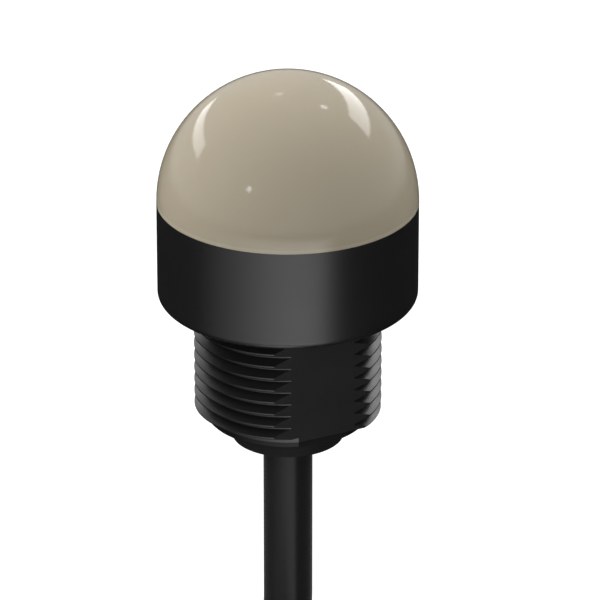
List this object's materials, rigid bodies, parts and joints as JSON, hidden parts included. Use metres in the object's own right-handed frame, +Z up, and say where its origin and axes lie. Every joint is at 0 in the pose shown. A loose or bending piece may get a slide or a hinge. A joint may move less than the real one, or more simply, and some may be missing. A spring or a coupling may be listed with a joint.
{
  "type": "led indicator light",
  "caption": "Panel indicator light: translucent dome on a round black base, threaded neck with two flats and a cable from its end, wound into a tied coil.",
  "frame": {"origin": "on the lamp's axis, at the panel face that the underside of the base sits on", "axes": "+Z up through the dome; the two flats on the neck face +Y and -Y"},
  "size_m": [0.0853, 0.0858, 0.1282],
  "materials": {
    "housing_black": "moulded, satin",
    "dome_diffuser": "moulded, glossy, translucent diffuser",
    "seal_rubber": "matt",
    "board_white": "white solder mask",
    "board_green": "green solder mask",
    "pin_gold": "gold-plated",
    "header_black": "moulded",
    "led_package": "moulded, matt",
    "chip_black": "moulded, matt",
    "suppressor_body": "moulded, matt",
    "resistor_body": "matt glaze",
    "capacitor_can": "drawn, satin",
    "grommet_rubber": "matt",
    "potting_resin": "cast, glossy",
    "cable_jacket": "extruded, satin",
    "tie_nylon": "moulded, satin",
    "copper_wire": "bare copper",
    "core_brown": "extruded",
    "core_white": "extruded",
    "core_blue": "extruded",
    "core_black": "extruded",
    "core_grey": "extruded"
  },
  "bodies": {
    "root": {"base_housing": "housing_black", "dome_lens": "dome_diffuser", "dome_seal": "seal_rubber", "led_board": "board_white", "driver_board": "board_green", "header_pins": "pin_gold", "header_block": "header_black", "bridge_rectifier": "chip_black", "controller": "chip_black", "regulator": "chip_black", "surge_suppressor": "suppressor_body", "smoothing_capacitor": "capacitor_can", "cable_grommet": "grommet_rubber", "potting": "potting_resin", "cable": "cable_jacket", "cable_tail": "cable_jacket", "cable_coil": "cable_jacket", "coil_tie": "tie_nylon", "wire_tips": "copper_wire", "led_1": "led_package", "led_2": "led_package", "led_3": "led_package", "led_4": "led_package", "led_5": "led_package", "led_6": "led_package", "transistor_1": "chip_black", "resistor_1": "resistor_body", "transistor_2": "chip_black", "resistor_2": "resistor_body", "transistor_3": "chip_black", "resistor_3": "resistor_body", "inner_lead_brown": "core_brown", "outer_lead_brown": "core_brown", "inner_lead_white": "core_white", "outer_lead_white": "core_white", "inner_lead_blue": "core_blue", "outer_lead_blue": "core_blue", "inner_lead_black": "core_black", "outer_lead_black": "core_black", "inner_lead_grey": "core_grey", "outer_lead_grey": "core_grey"}
  },
  "joints": []
}
